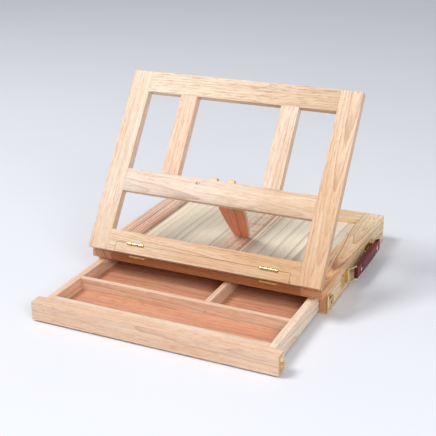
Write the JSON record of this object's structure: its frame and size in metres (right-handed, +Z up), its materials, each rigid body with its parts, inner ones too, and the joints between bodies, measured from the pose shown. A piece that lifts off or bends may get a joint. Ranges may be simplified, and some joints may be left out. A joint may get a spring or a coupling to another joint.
{
  "type": "tabletop box easel",
  "caption": "Wooden tabletop box easel: a drawer with compartments, a hinged display frame with a prop leg and flip-up ledge, clasps and a side handle.",
  "frame": {"origin": "centre of the box's underside, on the table", "axes": "+Z up, +X to the right, and the drawer opens towards -Y"},
  "size_m": [0.359, 0.428, 0.2647],
  "materials": {
    "box_pine": "sanded, clear satin",
    "pale_pine": "sanded, clear satin",
    "pink_wood": "sanded",
    "leg_wood": "sanded",
    "pale_plywood": "sanded plywood",
    "red_plywood": "bare plywood",
    "brass": "plated, bright",
    "steel": "plain",
    "leather": "smooth, semi-gloss"
  },
  "bodies": {
    "box": {"side_board_left": "box_pine", "side_board_right": "box_pine", "back_board": "box_pine", "base_panel": "pale_plywood", "deck_rail_front": "box_pine", "deck_rail_back": "box_pine", "deck_rail_left": "box_pine", "deck_rail_right": "box_pine", "deck_panel": "pale_plywood", "slot_board": "pink_wood", "box_hinge_leaf_left": "brass", "box_hinge_leaf_right": "brass", "frame_hinge_pins": "brass", "box_hinge_screws": "brass", "clasp_plate_left": "brass", "clasp_plate_right": "brass", "clasp_pin_left": "brass", "clasp_pin_right": "brass", "handle_bracket_front": "brass", "handle_bracket_back": "brass", "side_board_screws": "brass"},
    "drawer": {"drawer_face": "pale_pine", "drawer_front": "pale_pine", "drawer_side_left": "pale_pine", "drawer_side_right": "pale_pine", "drawer_back": "pale_pine", "drawer_bottom": "red_plywood", "long_divider": "pale_pine", "short_divider": "pale_pine", "divider_brads": "steel", "clasp_keeper_left": "brass", "clasp_keeper_right": "brass", "clasp_keeper_screws": "brass"},
    "display_frame": {"frame_stile_left": "pale_pine", "frame_stile_right": "pale_pine", "frame_top_rail": "pale_pine", "frame_middle_rail": "pale_pine", "frame_bottom_rail": "pale_pine", "frame_slat_left": "pale_pine", "frame_slat_right": "pale_pine", "leg_block": "box_pine", "leg_pin": "brass", "frame_hinge_leaf_left": "brass", "frame_hinge_leaf_right": "brass", "frame_screws": "brass", "top_stud": "brass", "rail_ledge_leaf_left": "brass", "rail_ledge_leaf_right": "brass", "ledge_hinge_pins": "brass"},
    "prop_leg": {"prop_leg": "leg_wood"},
    "canvas_ledge": {"canvas_ledge": "pale_pine", "ledge_leaf_left": "brass", "ledge_leaf_right": "brass", "ledge_screws": "brass"},
    "clasp_flap_left": {"clasp_flap_left": "brass"},
    "clasp_flap_right": {"clasp_flap_right": "brass"},
    "handle_loop_front": {"handle_ring_front": "brass"},
    "handle_loop_back": {"handle_ring_back": "brass"},
    "carrying_handle": {"handle_grip": "leather", "handle_rivets": "brass"}
  },
  "joints": [
    {"name": "frame_tilt", "type": "hinge", "parent": "box", "child": "display_frame", "pos_m": [0, -0.1416, 0.0413], "axis": [1, 0, 0], "range_deg": [-54.5, 15]},
    {"name": "leg_fold", "type": "hinge", "parent": "display_frame", "child": "prop_leg", "pos_m": [0, -0.06918, 0.13646], "axis": [1, 0, 0], "range_deg": [-31, 113]},
    {"name": "ledge_flip", "type": "hinge", "parent": "display_frame", "child": "canvas_ledge", "pos_m": [0, -0.14331, 0.06094], "axis": [-1, 0, 0], "range_deg": [0, 180]},
    {"name": "drawer_slide", "type": "slide", "parent": "box", "child": "drawer", "axis": [0, -1, 0], "range_m": [-0.148, 0.032]},
    {"name": "left_clasp_swing", "type": "hinge", "parent": "box", "child": "clasp_flap_left", "pos_m": [-0.172, -0.1218, 0.015], "axis": [0, 0, 1], "range_deg": [0, 180]},
    {"name": "right_clasp_swing", "type": "hinge", "parent": "box", "child": "clasp_flap_right", "pos_m": [0.172, -0.1218, 0.015], "axis": [0, 0, -1], "range_deg": [0, 180]},
    {"name": "front_loop_swing", "type": "hinge", "parent": "box", "child": "handle_loop_front", "pos_m": [0.1732, -0.04254, 0.021], "axis": [0, 0, -1], "range_deg": [-2, 134]},
    {"name": "grip_turn", "type": "hinge", "parent": "handle_loop_front", "child": "carrying_handle", "pos_m": [0.17971, -0.02792, 0.021], "axis": [0, 0, 1], "range_deg": [-2, 134]},
    {"name": "back_loop_swing", "type": "hinge", "parent": "box", "child": "handle_loop_back", "pos_m": [0.1732, 0.06146, 0.021], "axis": [0, 0, -1], "range_deg": [-2, 134]}
  ],
  "couplings": [
    {"joint": "leg_fold", "follows": "frame_tilt", "ratio": -2.0494},
    {"joint": "grip_turn", "follows": "front_loop_swing", "ratio": 1},
    {"joint": "back_loop_swing", "follows": "front_loop_swing", "ratio": 1}
  ]
}
